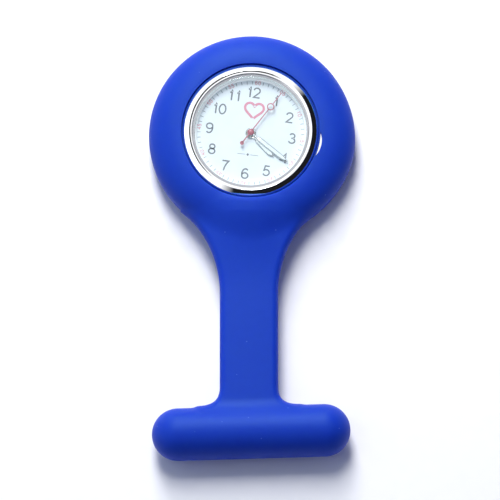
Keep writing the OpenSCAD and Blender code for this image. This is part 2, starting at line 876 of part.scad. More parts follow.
// The long arbor reaches through the hollow centre arbor to the second hand
module seconds_wheel() {
    color("goldenrod") in_head() {
        disc(pivot_r, [bridge_z[0] + 0.05, bridge_z[1] + 0.05 + lap]);
        disc(seconds_arbor_r, [bridge_z[1] + 0.05, second_z + hand_t]);
        slab(seconds_wheel_z) gear(seconds_teeth, seconds_m, 0);
        slab(seconds_pinion_z) gear(seconds_pinion, third_m, 0);
    }
}

module third_wheel() {
    phase = mesh(third_bearing, seconds_pinion, 0, third_teeth);
    color("goldenrod") in_head() at(third_at) {
        arbor();
        slab(third_wheel_z) gear(third_teeth, third_m, phase);
        slab(third_pinion_z) gear(third_pinion, centre_m, 0);
    }
}

module centre_wheel() {
    phase = mesh(third_bearing + 180, third_pinion, 0, centre_teeth);
    color("goldenrod") in_head() difference() {
        union() {
            slab(centre_wheel_z) gear(centre_teeth, centre_m, phase);
            disc(centre_pipe_r, [centre_wheel_z[0] + fit, minute_z - 0.1]);
        }
        disc(seconds_arbor_r + run, [3, minute_z]);
    }
}

// ---------------------------------------------------------------- motion work

// Pipe that grips the centre arbor and carries the minute hand
module cannon_pinion() {
    color("gold") in_head() difference() {
        union() {
            slab(cannon_z) gear(cannon_teeth, motion_m, 0);
            disc(cannon_pipe_r, [cannon_z[0], minute_z + hand_t + 0.05]);
        }
        disc(centre_pipe_r + fit, [4, 8]);
    }
}

module minute_wheel() {
    color("goldenrod") in_head() at(minute_at) difference() {
        union() {
            slab(minute_wheel_z) gear(minute_teeth, motion_m, mesh(0, cannon_teeth, 0, minute_teeth));
            slab(minute_pinion_z) gear(minute_pinion, hour_m, 0);
        }
        disc(minute_stud_r + run, [4, 6]);
    }
}

// Wheel and pipe that carry the hour hand
module hour_wheel() {
    color("goldenrod") in_head() difference() {
        union() {
            slab(hour_wheel_z) gear(hour_teeth, hour_m, mesh(180, minute_pinion, 0, hour_teeth));
            disc(hour_pipe_r, [hour_wheel_z[0] + 0.05, hour_z + hand_t + 0.05]);
        }
        disc(cannon_pipe_r + run, [5, 8]);
    }
}

module setting_wheel() {
    minute_phase = mesh(0, cannon_teeth, 0, minute_teeth);
    color("goldenrod") in_head() at(setting_at) difference() {
        slab(setting_wheel_z)
            gear(setting_teeth, motion_m, mesh(0, minute_teeth, minute_phase, setting_teeth));
        disc(setting_stud_r + run, [4, 6]);
    }
}

// Clutch with end teeth and a groove for the yoke
module sliding_pinion() {
    groove = [yoke_nose[0] - 0.2, yoke_nose[0] + 0.2];
    bore = stem_thin_r + run;
    color("silver") in_head() difference() {
        turned_x([
            [bore, clutch_x[0]], [clutch_r, clutch_x[0]], [clutch_r, groove[0]],
            [clutch_groove_r, groove[0]], [clutch_groove_r, groove[1]], [clutch_r, groove[1]],
            [clutch_r, clutch_x[1]], [bore, clutch_x[1]]
        ], crown_z);
        for (a = [0:30:330]) translate([0, 0, crown_z]) rotate([a, 0, 0])
            translate([clutch_x[0] - 0.1, clutch_groove_r + 0.05, -0.06]) cube([0.25, 0.3, 0.12]);
    }
}

// Lever whose nose follows the groove in the stem
module setting_lever() {
    color("silver") in_head() difference() {
        union() {
            slab(lever_z) arm(lever_at, 0.55, lever_nose, 0.13);
            at(lever_nose) disc(lever_nose_r, [lever_nose_z, lever_z[1]]);
        }
        at(lever_at) disc(lever_stud_r + run, [4, 6]);
    }
}

// Lever whose tip follows the groove in the sliding pinion
module yoke() {
    color("silver") in_head() difference() {
        union() {
            slab(lever_z) arm(yoke_at, 0.55, yoke_nose, 0.13);
            at(yoke_nose) disc(lever_nose_r, [lever_nose_z, lever_z[1]]);
        }
        at(yoke_at) disc(lever_stud_r + run, [4, 6]);
    }
}

// ---------------------------------------------------------------- hands

// Pointed baton hand with a narrow neck and a hole for its pipe
module baton(length, half, hub, hole) {
    side = [
        [half[1], 0], [half[1], 1.7], [half[0], 2.2], [half[0], 0.84 * length], [0.05, length]
    ];
    difference() {
        union() {
            circle(hub);
            polygon(concat(side, mirrored(side)));
        }
        circle(hole);
    }
}

module hour_hand() {
    color("gainsboro") pointing(30 * hour_now + minute_now / 2)
        slab([hour_z, hour_z + hand_t]) baton(hour_l, hour_blade, hour_hub, hour_pipe_r + fit);
}

module minute_hand() {
    color("gainsboro") pointing(6 * minute_now)
        slab([minute_z, minute_z + hand_t]) baton(minute_l, minute_blade, minute_hub, cannon_pipe_r + fit);
}

// Needle with an open ring, a round tail and a domed hub
module second_hand() {
    shaft = [
        [-needle[0], tail_y], [needle[0], tail_y], [needle[1], second_l], [-needle[1], second_l]
    ];
    color("crimson") pointing(6 * second_now) difference() {
        union() {
            slab([second_z, second_z + second_t]) difference() {
                union() {
                    polygon(shaft);
                    translate([0, tail_y]) circle(tail_r);
                    translate([0, eye_ring_y]) circle(eye_ring[1]);
                }
                translate([0, eye_ring_y]) circle(eye_ring[0]);
            }
            disc(second_hub, [second_z - 0.1, second_z + 0.25]);
        }
        disc(seconds_arbor_r + fit, [second_z - 1, second_z + hand_t]);
    }
}

// ---------------------------------------------------------------- assembly

holder_head();
holder_bar();
brooch_base();
brooch_rivet();
brooch_pin();
brooch_catch();
case_body();
bezel();
crystal();
crystal_gasket();
dial_ring();
dial();
caseback();
caseback_gasket();
movement_ring();
stem_tube();
crown();
crown_gasket();
stem();
main_plate();
train_bridge();
circuit_board();
quartz_can();
ic_chip();
battery();
battery_clamp();
battery_spring();
coil_core();
coil_winding();
stator();
rotor();
step_wheel();
seconds_wheel();
third_wheel();
centre_wheel();
cannon_pinion();
minute_wheel();
hour_wheel();
setting_wheel();
sliding_pinion();
setting_lever();
yoke();
setting_cover();
movement_screws();
hour_hand();
minute_hand();
second_hand();
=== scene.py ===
"""Looks of the fob watch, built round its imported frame.

Lengths are in millimetres while a shape is worked out, and in metres in Blender.
"""
import json
import math

import bpy
import numpy as np
from mathutils import Matrix, Vector
from mathutils.geometry import tessellate_polygon


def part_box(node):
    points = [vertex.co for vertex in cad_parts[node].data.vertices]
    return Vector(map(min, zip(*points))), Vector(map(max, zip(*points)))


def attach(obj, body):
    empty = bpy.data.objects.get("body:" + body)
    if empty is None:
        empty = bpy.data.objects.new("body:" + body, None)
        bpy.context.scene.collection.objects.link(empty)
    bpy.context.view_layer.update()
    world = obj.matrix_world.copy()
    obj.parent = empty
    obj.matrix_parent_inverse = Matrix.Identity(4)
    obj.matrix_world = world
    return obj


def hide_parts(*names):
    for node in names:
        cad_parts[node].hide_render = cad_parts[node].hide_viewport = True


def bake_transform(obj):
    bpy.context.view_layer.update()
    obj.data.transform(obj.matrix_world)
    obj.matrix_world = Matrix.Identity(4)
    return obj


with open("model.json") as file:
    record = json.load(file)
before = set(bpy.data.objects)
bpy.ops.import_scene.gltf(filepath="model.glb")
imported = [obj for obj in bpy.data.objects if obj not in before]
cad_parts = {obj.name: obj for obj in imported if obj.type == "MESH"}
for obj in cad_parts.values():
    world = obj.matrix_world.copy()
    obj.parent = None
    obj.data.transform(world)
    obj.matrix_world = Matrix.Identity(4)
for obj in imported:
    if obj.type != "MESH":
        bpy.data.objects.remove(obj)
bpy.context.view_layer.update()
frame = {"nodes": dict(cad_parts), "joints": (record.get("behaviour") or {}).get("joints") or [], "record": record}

MM = 0.001


# ------------------------------------------------------------ places from the frame

def box_mm(node):
    low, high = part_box(node)
    return np.array(low) / MM, np.array(high) / MM


def joint(name):
    return next(j for j in frame["joints"] if j["name"] == name)


HEAD_HIGH = box_mm("holder_head")[1]
BAR_LOW, BAR_HIGH = box_mm("holder_bar")
BEZEL_LOW, BEZEL_HIGH = box_mm("bezel")
GLASS_LOW, GLASS_HIGH = box_mm("crystal")
DIAL_HIGH = box_mm("dial")[1]
RING_LOW, RING_HIGH = box_mm("dial_ring")
BACK_LOW, BACK_HIGH = box_mm("caseback")
BASE_LOW, BASE_HIGH = box_mm("brooch_base")

HOLDER_R = HEAD_HIGH[0]
HOLDER_H = HEAD_HIGH[2]
GUARD_R, CASE_R, GUARD_Z = box_mm("case_body")[1]
BAR_HALF = BAR_HIGH[0]
BAR_TOP = BAR_HIGH[2]
BAR_BACK = BAR_LOW[2]
BAR_Y = joint("pin_swing")["pos_m"][1] / MM
BAR_R = BAR_Y - BAR_LOW[1]
CROWN_AXIS = joint("crown_pull")["axis"]
HEAD_TURN = math.atan2(CROWN_AXIS[1], CROWN_AXIS[0])

# Strap: half its width, its sideways shift, mid height and thickness; then the bar's turn
STRAP_HALF = 6.0
STRAP_X = -0.4
STRAP_Z = 5.8
STRAP_T = 3.2
BAR_TILT = math.radians(1.4)


# ------------------------------------------------------------ mesh helpers

def arc(cx, cy, rx, ry, start, end, steps):
    """Points round part of an oval, angles in degrees."""
    angles = np.radians(np.linspace(start, end, steps + 1))
    return [(cx + rx * math.cos(a), cy + ry * math.sin(a)) for a in angles]


def turned(points, angle):
    """Points in a plane, turned about the origin."""
    c, s = math.cos(angle), math.sin(angle)
    return [(x * c - y * s, x * s + y * c) for x, y in points]


def moved(points, dx, dy):
    return [(x + dx, y + dy) for x, y in points]


def mirrored(points):
    """The other half of a shape that is even about the Y axis."""
    return [(-x, y) for x, y in reversed(points)]


def make_object(name, verts, faces, smooth_angle=None):
    """A Blender mesh object from points in millimetres."""
    mesh = bpy.data.meshes.new(name)
    mesh.from_pydata((np.asarray(verts, float) * MM).tolist(), [], faces)
    mesh.validate()
    if smooth_angle is not None:
        mesh.shade_smooth()
        mesh.set_sharp_from_angle(angle=math.radians(smooth_angle))
    obj = bpy.data.objects.new(name, mesh)
    bpy.context.scene.collection.objects.link(obj)
    return obj


def joined(parts):
    """One list of points and faces from several."""
    verts, faces = [], []
    for v, f in parts:
        start = len(verts)
        verts.extend(v)
        faces.extend([tuple(i + start for i in face) for face in f])
    return verts, faces


def inset(loop, depth):
    """A closed outline moved inwards; its inside is on the left."""
    pts = np.asarray(loop, float)
    before, after = np.roll(pts, 1, 0), np.roll(pts, -1, 0)
    e1, e2 = pts - before, after - pts
    e1 /= np.linalg.norm(e1, axis=1)[:, None]
    e2 /= np.linalg.norm(e2, axis=1)[:, None]
    n1 = np.stack([-e1[:, 1], e1[:, 0]], 1)
    n2 = np.stack([-e2[:, 1], e2[:, 0]], 1)
    mid = n1 + n2
    scale = 2 / np.maximum((mid ** 2).sum(1), 0.5)
    return pts + mid * (scale * depth)[:, None]


def area(loop):
    pts = np.asarray(loop, float)
    nxt = np.roll(pts, -1, 0)
    return 0.5 * (pts[:, 0] * nxt[:, 1] - pts[:, 1] * nxt[:, 0]).sum()


def plate(loops, levels):
    """Closed plate. loops[0] is its outline and the others are holes; a level is (inset, height)."""
    loops = [np.asarray(l, float) for l in loops]
    loops = [l if (area(l) > 0) == (i == 0) else l[::-1] for i, l in enumerate(loops)]
    rings = [[inset(l, depth) for l in loops] for depth, _ in levels]
    verts, faces, starts = [], [], []
    for ring, (_, z) in zip(rings, levels):
        starts.append([])
        for l in ring:
            starts[-1].append(len(verts))
            verts.extend([(x, y, z) for x, y in l])
    for low, high in zip(starts, starts[1:]):
        for k, l in enumerate(loops):
            n = len(l)
            for i in range(n):
                j = (i + 1) % n
                faces.append((low[k] + i, low[k] + j, high[k] + j, high[k] + i))
    for level, flip in ((0, True), (-1, False)):
        flat = [[Vector((x, y, 0)) for x, y in l] for l in rings[level]]
        base = starts[level][0]
        for tri in tessellate_polygon(flat):
            a, b, c = [verts[base + i] for i in tri]
            up = (b[0] - a[0]) * (c[1] - a[1]) - (b[1] - a[1]) * (c[0] - a[0]) > 0
            tri = tuple(base + i for i in tri)
            faces.append(tri[::-1] if up == flip else tri)
    return verts, faces


def lathe(profile, segments=192):
    """Closed turned solid from an outline of (radius, height) that goes counterclockwise."""
    if area(profile) < 0:
        profile = profile[::-1]
    verts, index = [], []
    for r, z in profile:
        if r < 1e-6:
            index.append([len(verts)] * segments)
            verts.append((0, 0, z))
            continue
        index.append(list(range(len(verts), len(verts) + segments)))
        for k in range(segments):
            a = 2 * math.pi * k / segments
            verts.append((r * math.cos(a), r * math.sin(a), z))
    faces = []
    for i in range(len(profile)):
        lo, hi = index[i], index[(i + 1) % len(profile)]
        for k in range(segments):
            n = (k + 1) % segments
            ring = [lo[k], lo[n], hi[n], hi[k]]
            face = tuple(dict.fromkeys(ring))
            if len(face) > 2:
                faces.append(face)
    return verts, faces


# ------------------------------------------------------------ node helpers

def node(tree, kind, **inputs):
    n = tree.nodes.new(kind)
    for key, value in inputs.items():
        n.inputs[key.replace("_", " ")].default_value = value
    return n


def object_point(tree, stretch=(1, 1, 1)):
    """Position on the object, stretched along its axes."""
    place = tree.nodes.new("ShaderNodeTexCoord")
    mapping = tree.nodes.new("ShaderNodeMapping")
    mapping.inputs["Scale"].default_value = stretch
    tree.links.new(place.outputs["Object"], mapping.inputs["Vector"])
    return mapping.outputs["Vector"]


def noise(tree, scale, stretch=(1, 1, 1), detail=3.0):
    n = node(tree, "ShaderNodeTexNoise", Scale=scale, Detail=detail)
    tree.links.new(object_point(tree, stretch), n.inputs["Vector"])
    return n.outputs["Fac"]


def remap(tree, value, low, high, to_low, to_high):
    n = tree.nodes.new("ShaderNodeMapRange")
    for key, v in zip(("From Min", "From Max", "To Min", "To Max"), (low, high, to_low, to_high)):
        n.inputs[key].default_value = v
    tree.links.new(value, n.inputs["Value"])
    return n.outputs["Result"]


def mix_colour(tree, factor, a, b):
    n = tree.nodes.new("ShaderNodeMix")
    n.data_type = "RGBA"
    tree.links.new(factor, n.inputs["Factor"])
    for socket, colour in ((n.inputs[6], a), (n.inputs[7], b)):
        if isinstance(colour, tuple):
            socket.default_value = colour + (1,)
        else:
            tree.links.new(colour, socket)
    return n.outputs[2]


def add_bump(tree, shader, height, depth_mm, strength=1.0, after=None):
    n = node(tree, "ShaderNodeBump", Strength=strength, Distance=depth_mm * MM)
    tree.links.new(height, n.inputs["Height"])
    if after is not None:
        tree.links.new(after, n.inputs["Normal"])
    tree.links.new(n.outputs["Normal"], shader.inputs["Normal"])
    return n.outputs["Normal"]


def finish_material(name, colour, metallic, rough, grain_mm, depth_mm, vary=0.06, rough_vary=0.25,
                    stretch=(1, 1, 1), **inputs):
    """A principled material whose colour, roughness and relief all vary with fine grain."""
    m = bpy.data.materials.new(name)
    m.use_nodes = True
    tree = m.node_tree
    shader = tree.nodes["Principled BSDF"]
    shader.inputs["Metallic"].default_value = metallic
    for key, value in inputs.items():
        shader.inputs[key.replace("_", " ")].default_value = value
    fine = noise(tree, 1 / (grain_mm * MM), stretch)
    broad = noise(tree, 1 / (12 * grain_mm * MM), stretch)
    dark = tuple(c * (1 - vary) for c in colour)
    light = tuple(min(1.0, c * (1 + vary)) for c in colour)
    tree.links.new(mix_colour(tree, broad, dark, light), shader.inputs["Base Color"])
    spread = remap(tree, fine, 0.3, 0.7, rough * (1 - rough_vary), rough * (1 + rough_vary))
    tree.links.new(spread, shader.inputs["Roughness"])
    if depth_mm:
        add_bump(tree, shader, fine, depth_mm)
    return m, tree, shader


# ------------------------------------------------------------ materials

def silicone_material():
    """Matte moulded rubber with a fine satin skin and a few specks of dust."""
    m, tree, shader = finish_material(
        "blue_silicone", (0.0075, 0.041, 0.435), 0, 0.5, 0.12, 0.004, vary=0.05, rough_vary=0.12,
        Specular_IOR_Level=0.2, Subsurface_Weight=0.6, Subsurface_Scale=1.0 * MM,
    )
    shader.inputs["Specular Tint"].default_value = (0.45, 0.85, 1.0, 1)
    shader.inputs["Subsurface Radius"].default_value = (0.4, 0.8, 3.5)
    base = shader.inputs["Base Color"].links[0].from_socket
    specks = tree.nodes.new("ShaderNodeTexVoronoi")
    specks.inputs["Scale"].default_value = 1 / (2.6 * MM)
    tree.links.new(object_point(tree), specks.inputs["Vector"])
    dot = remap(tree, specks.outputs["Distance"], 0.025, 0.05, 1, 0)
    chosen = tree.nodes.new("ShaderNodeSeparateColor")
    tree.links.new(specks.outputs["Color"], chosen.inputs["Color"])
    some = remap(tree, chosen.outputs["Red"], 0.62, 0.66, 0, 0.55)
    both = tree.nodes.new("ShaderNodeMath")
    both.operation = "MULTIPLY"
    tree.links.new(dot, both.inputs[0])
    tree.links.new(some, both.inputs[1])
    dusty = mix_colour(tree, both.outputs[0], base, (0.16, 0.27, 0.72))
    tree.links.new(dusty, shader.inputs["Base Color"])
    return m


def chrome_material():
    m, _, _ = finish_material("chrome", (0.90, 0.91, 0.92), 1, 0.045, 0.6, 0, vary=0.02, rough_vary=0.5)
    return m


def brushed_material(name, colour, rough, ring=False):
    """Steel with fine brush lines, straight or running round the axis."""
    m, tree, shader = finish_material(name, colour, 1, rough, 0.25, 0, vary=0.08)
    if ring:
        place = tree.nodes.new("ShaderNodeTexCoord")
        length = tree.nodes.new("ShaderNodeVectorMath")
        length.operation = "LENGTH"
        flat = tree.nodes.new("ShaderNodeVectorMath")
        flat.operation = "MULTIPLY"
        flat.inputs[1].default_value = (1, 1, 0)
        tree.links.new(place.outputs["Object"], flat.inputs[0])
        tree.links.new(flat.outputs[0], length.inputs[0])
        lines = node(tree, "ShaderNodeTexNoise", Scale=1 / (0.06 * MM), Detail=2.0)
        lines.noise_dimensions = "1D"
        tree.links.new(length.outputs["Value"], lines.inputs["W"])
        height = lines.outputs["Fac"]
    else:
        height = noise(tree, 1 / (0.05 * MM), (0.02, 1, 1))
    add_bump(tree, shader, height, 0.0015)
    return m


def glass_material():
    """Clear mineral glass: see-through, with a mirror reflection that grows at low angles."""
    m = bpy.data.materials.new("mineral_glass")
    m.use_nodes = True
    tree = m.node_tree
    shader = tree.nodes["Principled BSDF"]
    shader.inputs["Base Color"].default_value = (0.93, 0.98, 1.0, 1)
    shader.inputs["Metallic"].default_value = 1.0
    smudge = remap(tree, noise(tree, 1 / (4 * MM)), 0.3, 0.7, 0.01, 0.035)
    tree.links.new(smudge, shader.inputs["Roughness"])
    clear = tree.nodes.new("ShaderNodeBsdfTransparent")
    clear.inputs["Color"].default_value = (0.972, 0.995, 1.0, 1)
    fresnel = node(tree, "ShaderNodeFresnel", IOR=1.5)
    share = remap(tree, fresnel.outputs["Fac"], 0, 1, 0, 0.6)
    mixer = tree.nodes.new("ShaderNodeMixShader")
    tree.links.new(share, mixer.inputs["Fac"])
    tree.links.new(clear.outputs[0], mixer.inputs[1])
    tree.links.new(shader.outputs[0], mixer.inputs[2])
    tree.links.new(mixer.outputs[0], tree.nodes["Material Output"].inputs["Surface"])
    return m


def wheel_material(name, colour):
    m, _, _ = finish_material(name, colour, 1, 0.28, 0.15, 0.003, vary=0.1)
    return m


def board_material():
    """Green laminate with darker tracks under the resist."""
    m, tree, shader = finish_material("board_green", (0.02, 0.17, 0.07), 0, 0.35, 0.3, 0.003)
    bricks = node(tree, "ShaderNodeTexBrick", Scale=1 / (4 * MM))
    tree.links.new(object_point(tree), bricks.inputs["Vector"])
    base = shader.inputs["Base Color"].links[0].from_socket
    tracked = mix_colour(tree, bricks.outputs["Fac"], base, (0.05, 0.28, 0.12))
    tree.links.new(tracked, shader.inputs["Base Color"])
    return m


def winding_material():
    """Fine copper turns that run round the coil."""
    m, tree, shader = finish_material("copper_enamel", (0.55, 0.18, 0.06), 0.6, 0.3, 0.2, 0)
    waves = node(tree, "ShaderNodeTexWave", Scale=1 / (0.5 * MM))
    tree.links.new(object_point(tree), waves.inputs["Vector"])
    add_bump(tree, shader, waves.outputs["Fac"], 0.02)
    return m


# Colour, metal share, roughness, grain and relief in millimetres
PLAIN_FINISHES = {
    "grey_gasket": ((0.30, 0.31, 0.33), 0, 0.45, 0.2, 0.003),
    "dial_white": ((0.85, 0.88, 0.90), 0, 0.42, 0.25, 0.001),
    "black_rubber": ((0.02, 0.02, 0.022), 0, 0.6, 0.1, 0.004),
    "nickel_plate": ((0.66, 0.66, 0.63), 1, 0.34, 0.08, 0.004),
    "black_epoxy": ((0.015, 0.015, 0.017), 0, 0.3, 0.4, 0.01),
    "soft_iron": ((0.30, 0.30, 0.31), 1, 0.45, 0.15, 0.004),
    "magnet_grey": ((0.12, 0.12, 0.13), 0.4, 0.5, 0.1, 0.005),
    "hand_red": ((0.45, 0.10, 0.14), 0, 0.3, 0.2, 0.001),
    "hand_silver": ((0.56, 0.57, 0.58), 1, 0.2, 0.2, 0.001),
    "hand_fill": ((0.90, 0.93, 0.92), 0, 0.6, 0.08, 0.004),
    "grey_ink": ((0.16, 0.17, 0.19), 0, 0.5, 0.1, 0.001),
    "track_ink": ((0.27, 0.30, 0.33), 0, 0.5, 0.1, 0.001),
    "red_ink": ((0.74, 0.27, 0.35), 0, 0.5, 0.1, 0.001),
    "pink_ink": ((0.72, 0.28, 0.32), 0, 0.5, 0.1, 0.001),
}


def all_materials():
    """The material of every slot in the record, and the inks and fill of the dial and hands."""
    made = {name: finish_material(name, *values)[0] for name, values in PLAIN_FINISHES.items()}
    # white_plastic glows faintly (emission 0.2): painted light that lifts the shade the bezel casts on the dial
    # wall.
    made["white_plastic"] = finish_material(
        "white_plastic", (0.80, 0.83, 0.84), 0, 0.35, 0.3, 0.002, Emission_Strength=0.2)[0]
    made["blue_silicone"] = silicone_material()
    made["chrome"] = chrome_material()
    made["brushed_steel"] = brushed_material("brushed_steel", (0.62, 0.63, 0.64), 0.3)
    made["ring_brushed"] = brushed_material("ring_brushed", (0.62, 0.63, 0.64), 0.26, ring=True)
    made["polished_steel"] = wheel_material("polished_steel", (0.70, 0.71, 0.72))
    made["mineral_glass"] = glass_material()
    made["board_green"] = board_material()
    made["gilt_brass"] = wheel_material("gilt_brass", (0.83, 0.60, 0.22))
    made["brass"] = wheel_material("brass", (0.72, 0.53, 0.23))
    made["copper_enamel"] = winding_material()
    return made


MATERIALS = all_materials()


def dress(obj, material, body, slot, *replaced):
    """Gives a new piece its material, its body and the CAD nodes it stands for."""
    obj.data.materials.clear()
    obj.data.materials.append(MATERIALS[material])
    if body:
        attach(obj, body)
    if replaced:
        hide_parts(*replaced)
    return obj


# ------------------------------------------------------------ silicone, as a distance field

def outline_distance(points, corners):
    """Signed distance to a closed outline, negative inside. Both are arrays of (x, y)."""
    best = np.full(len(points), 1e12)
    inside = np.zeros(len(points), bool)
    for a, b in zip(corners, np.roll(corners, -1, 0)):
        edge = b - a
        w = points - a
        t = np.clip((w @ edge) / (edge @ edge), 0, 1)
        best = np.minimum(best, ((w - t[:, None] * edge) ** 2).sum(1))
        crosses = (a[1] <= points[:, 1]) != (b[1] <= points[:, 1])
        if edge[1]:
            inside ^= crosses & (points[:, 0] < a[0] + (points[:, 1] - a[1]) / edge[1] * edge[0])
    return np.where(inside, -1, 1) * np.sqrt(best)


def smooth_min(a, b, k):
    h = np.clip(0.5 + 0.5 * (b - a) / k, 0, 1)
    return b + (a - b) * h - k * h * (1 - h)


def smooth_max(a, b, k):
    return -smooth_min(-a, -b, k)


def block(p, low, high):
    """Signed distance to an upright box."""
    centre, half = (np.array(low) + high) / 2, (np.array(high) - low) / 2
    q = np.abs(p - centre) - half
    return np.linalg.norm(np.maximum(q, 0), axis=1) + np.minimum(q.max(1), 0)


# Lip and crest round the watch, and the flange and groove just inside the lip
EDGE_R = CASE_R + 0.5
CREST_R = EDGE_R + 0.15
WALL_Z = 4.5
FLANGE_R = CASE_R - 0.12
FLANGE_Z = HOLDER_H - 0.3
GROOVE_R = EDGE_R - 0.28

# Pocket for the watch, and the opening behind it
POCKET_R = CASE_R + 0.1
BACK_T = 1.5
BACK_HOLE_R = 9.0

# Strap: curves into the holder and the bar, round and camber of its edges, and its rise to the holder
NECK_R = 24.0
FILLET_R = 4.2
FILLET_SINK = 0.6
STRAP_EDGE_R = 1.35
STRAP_CAMBER = 0.25
RAMP_Y = -33.5
RAMP_TOP_Y = -17.0
RAMP_H = 2.0
RAMP_HALF = 8.0
WING_DROOP = 0.03

# Softness of the join with the ring, most at the strap's middle, and of the join with the bar
JOIN_LEAST = 0.8
JOIN_MORE = 2.2
JOIN_SPREAD = 9
BAR_JOIN = 2.0

# Swelling of the holder's wall over the crown
SWELL_H = 0.42
SWELL_SHIFT = 0.03
SWELL_SPREAD = 0.42
SWELL_Z = 4.5
SWELL_Z_SPREAD = 4.5

# Room for the crown and its guard, and the crescent slot over the guard
CROWN_Z = 4.5
CROWN_ROOM_HALF = 2.3
CROWN_ROOM_IN = 12
CROWN_ROOM_OUT = CASE_R + 3.5
CROWN_ROOM_HALF_ANGLE = math.radians(17.6)
GUARD_ROOM_HALF_ANGLE = math.radians(24)
SLOT_TURN = HEAD_TURN - math.radians(4.5)
SLOT_HALF_ANGLE = math.radians(11)
SLOT_IN = EDGE_R + 0.12
SLOT_WIDTH = 0.54


def head_outline():
    """Half section of the holder, as (radius, height). Its top is a dome that starts at the lip."""
    return np.array(
        [(0, 0)]
        + arc(HOLDER_R - 2.5, 3, 2.5, 3, -90, 0, 12)
        + arc(CREST_R, WALL_Z, HOLDER_R - CREST_R, HOLDER_H - WALL_Z, 0, 90, 34)
        + [(0, HOLDER_H)]
    )


def pocket_outline():
    """Half section of the hollow: opening in the back, case room, flange, groove and lip."""
    over = HOLDER_H + 1
    return (
        [(0, -1), (BACK_HOLE_R + 0.3, -1), (BACK_HOLE_R + 0.3, 0.2), (BACK_HOLE_R, 0.5)]
        + [(BACK_HOLE_R, BACK_T), (POCKET_R, BACK_T), (POCKET_R, FLANGE_Z - 0.6)]
        + [(FLANGE_R, FLANGE_Z - 0.25), (FLANGE_R, FLANGE_Z - 0.08)]
        + [(FLANGE_R + 0.08, FLANGE_Z), (GROOVE_R, FLANGE_Z - 0.1), (GROOVE_R + 0.04, FLANGE_Z - 0.5)]
        + [(EDGE_R - 0.06, FLANGE_Z - 0.5), (EDGE_R, HOLDER_H - 0.06), (EDGE_R + 0.1, over), (0, over)]
    )


def slot_outline():
    """Plan of the crescent opening over the crown, just outside the lip."""
    chord = SLOT_IN * math.sin(SLOT_HALF_ANGLE)
    bow = SLOT_IN + SLOT_WIDTH - SLOT_IN * math.cos(SLOT_HALF_ANGLE)
    radius = (chord ** 2 + bow ** 2) / (2 * bow)
    half = math.degrees(math.asin(chord / radius))
    wide = math.degrees(SLOT_HALF_ANGLE)
    far = arc(SLOT_IN + SLOT_WIDTH - radius, 0, radius, radius, -half, half, 32)
    near = arc(0, 0, SLOT_IN, SLOT_IN, wide, -wide, 32)
    return turned(far + near[1:-1], SLOT_TURN)


def guard_room_outline(inner):
    """Plan of a room under the crest for the guard over the crown."""
    half, outer = math.degrees(GUARD_ROOM_HALF_ANGLE), GUARD_R + 0.1
    far = arc(0, 0, outer, outer, -half, half, 40)
    near = arc(0, 0, inner, inner, half, -half, 40)
    return turned(far + near, HEAD_TURN)


def strap_outline():
    """Plan of the strap with the hollow curves into the holder and the bar."""
    neck_x = STRAP_HALF + NECK_R
    neck_y = -math.sqrt((HOLDER_R + NECK_R) ** 2 - neck_x ** 2)
    meet = math.degrees(math.atan2(-neck_y, -neck_x))
    front = BAR_Y + BAR_R - FILLET_SINK
    side = (
        arc(STRAP_HALF + FILLET_R, front + FILLET_R, FILLET_R, FILLET_R, 270, 180, 12)
        + arc(neck_x, neck_y, NECK_R, NECK_R, 180, meet, 24)
        + [(STRAP_HALF, -CASE_R)]
    )
    foot = [(STRAP_HALF + FILLET_R, BAR_Y)]
    return np.array(moved(foot + side + mirrored(side) + mirrored(foot), STRAP_X, 0))


HEAD_OUTLINE = head_outline()
STRAP_OUTLINE = strap_outline()


def around_crown(p):
    """Angle of each point about the watch, from the crown's direction."""
    return np.arctan2(p[:, 1], p[:, 0]) - HEAD_TURN


def head_distance(p):
    """Signed distance to the ring round the watch, without its pocket."""
    r, z = np.hypot(p[:, 0], p[:, 1]), p[:, 2]
    off = ((around_crown(p) + SWELL_SHIFT) / SWELL_SPREAD) ** 2 + ((z - SWELL_Z) / SWELL_Z_SPREAD) ** 2
    swell = SWELL_H * np.exp(-off) * np.clip((r - CREST_R) / 3, 0, 1)
    return outline_distance(np.stack([r - swell, z], 1), HEAD_OUTLINE)


def strap_distance(p, beside):
    """Signed distance to the strap, which thickens up to the ring; beside is measured from its middle."""
    plan = outline_distance(p[:, :2], STRAP_OUTLINE)
    camber = STRAP_CAMBER * np.clip(beside / STRAP_HALF, 0, 1) ** 2
    ramp = np.clip((RAMP_Y - p[:, 1]) / (RAMP_Y - RAMP_TOP_Y), 0, 1)
    rise = RAMP_H / 2 * ramp ** 2 * np.exp(-(beside / RAMP_HALF) ** 2)
    droop = WING_DROOP * np.maximum(beside - STRAP_HALF, 0) ** 2
    flat = np.abs(p[:, 2] - STRAP_Z - rise + droop) - (STRAP_T / 2 + rise - camber)
    q = np.stack([plan, flat], 1) + STRAP_EDGE_R
    return np.linalg.norm(np.maximum(q, 0), axis=1) + np.minimum(q.max(1), 0) - STRAP_EDGE_R


def bar_distance(p):
    """Signed distance to the bar: a round-ended rod with a flat back."""
    x = p[:, 0] * math.cos(BAR_TILT) + (p[:, 1] - BAR_Y) * math.sin(BAR_TILT)
    y = (p[:, 1] - BAR_Y) * math.cos(BAR_TILT) - p[:, 0] * math.sin(BAR_TILT)
    run = BAR_HALF - BAR_R
    past = x - np.clip(x, -run, run)
    rod = np.sqrt(past ** 2 + y ** 2 + (p[:, 2] - (BAR_TOP - BAR_R)) ** 2) - BAR_R
    return smooth_max(rod, BAR_BACK - p[:, 2], 1.0)


def silicone_distance(p):
    """Signed distance to the one-piece moulding before its pocket is cut, for points (n, 3)."""
    beside = np.abs(p[:, 0] - STRAP_X)
    join = JOIN_LEAST + JOIN_MORE * np.exp(-(beside / JOIN_SPREAD) ** 2)
    solid = smooth_min(head_distance(p), strap_distance(p, beside), join)
    solid = smooth_min(solid, bar_distance(p), BAR_JOIN)
    return np.maximum.reduce([solid, -crown_room(p), -brooch_room(p)])


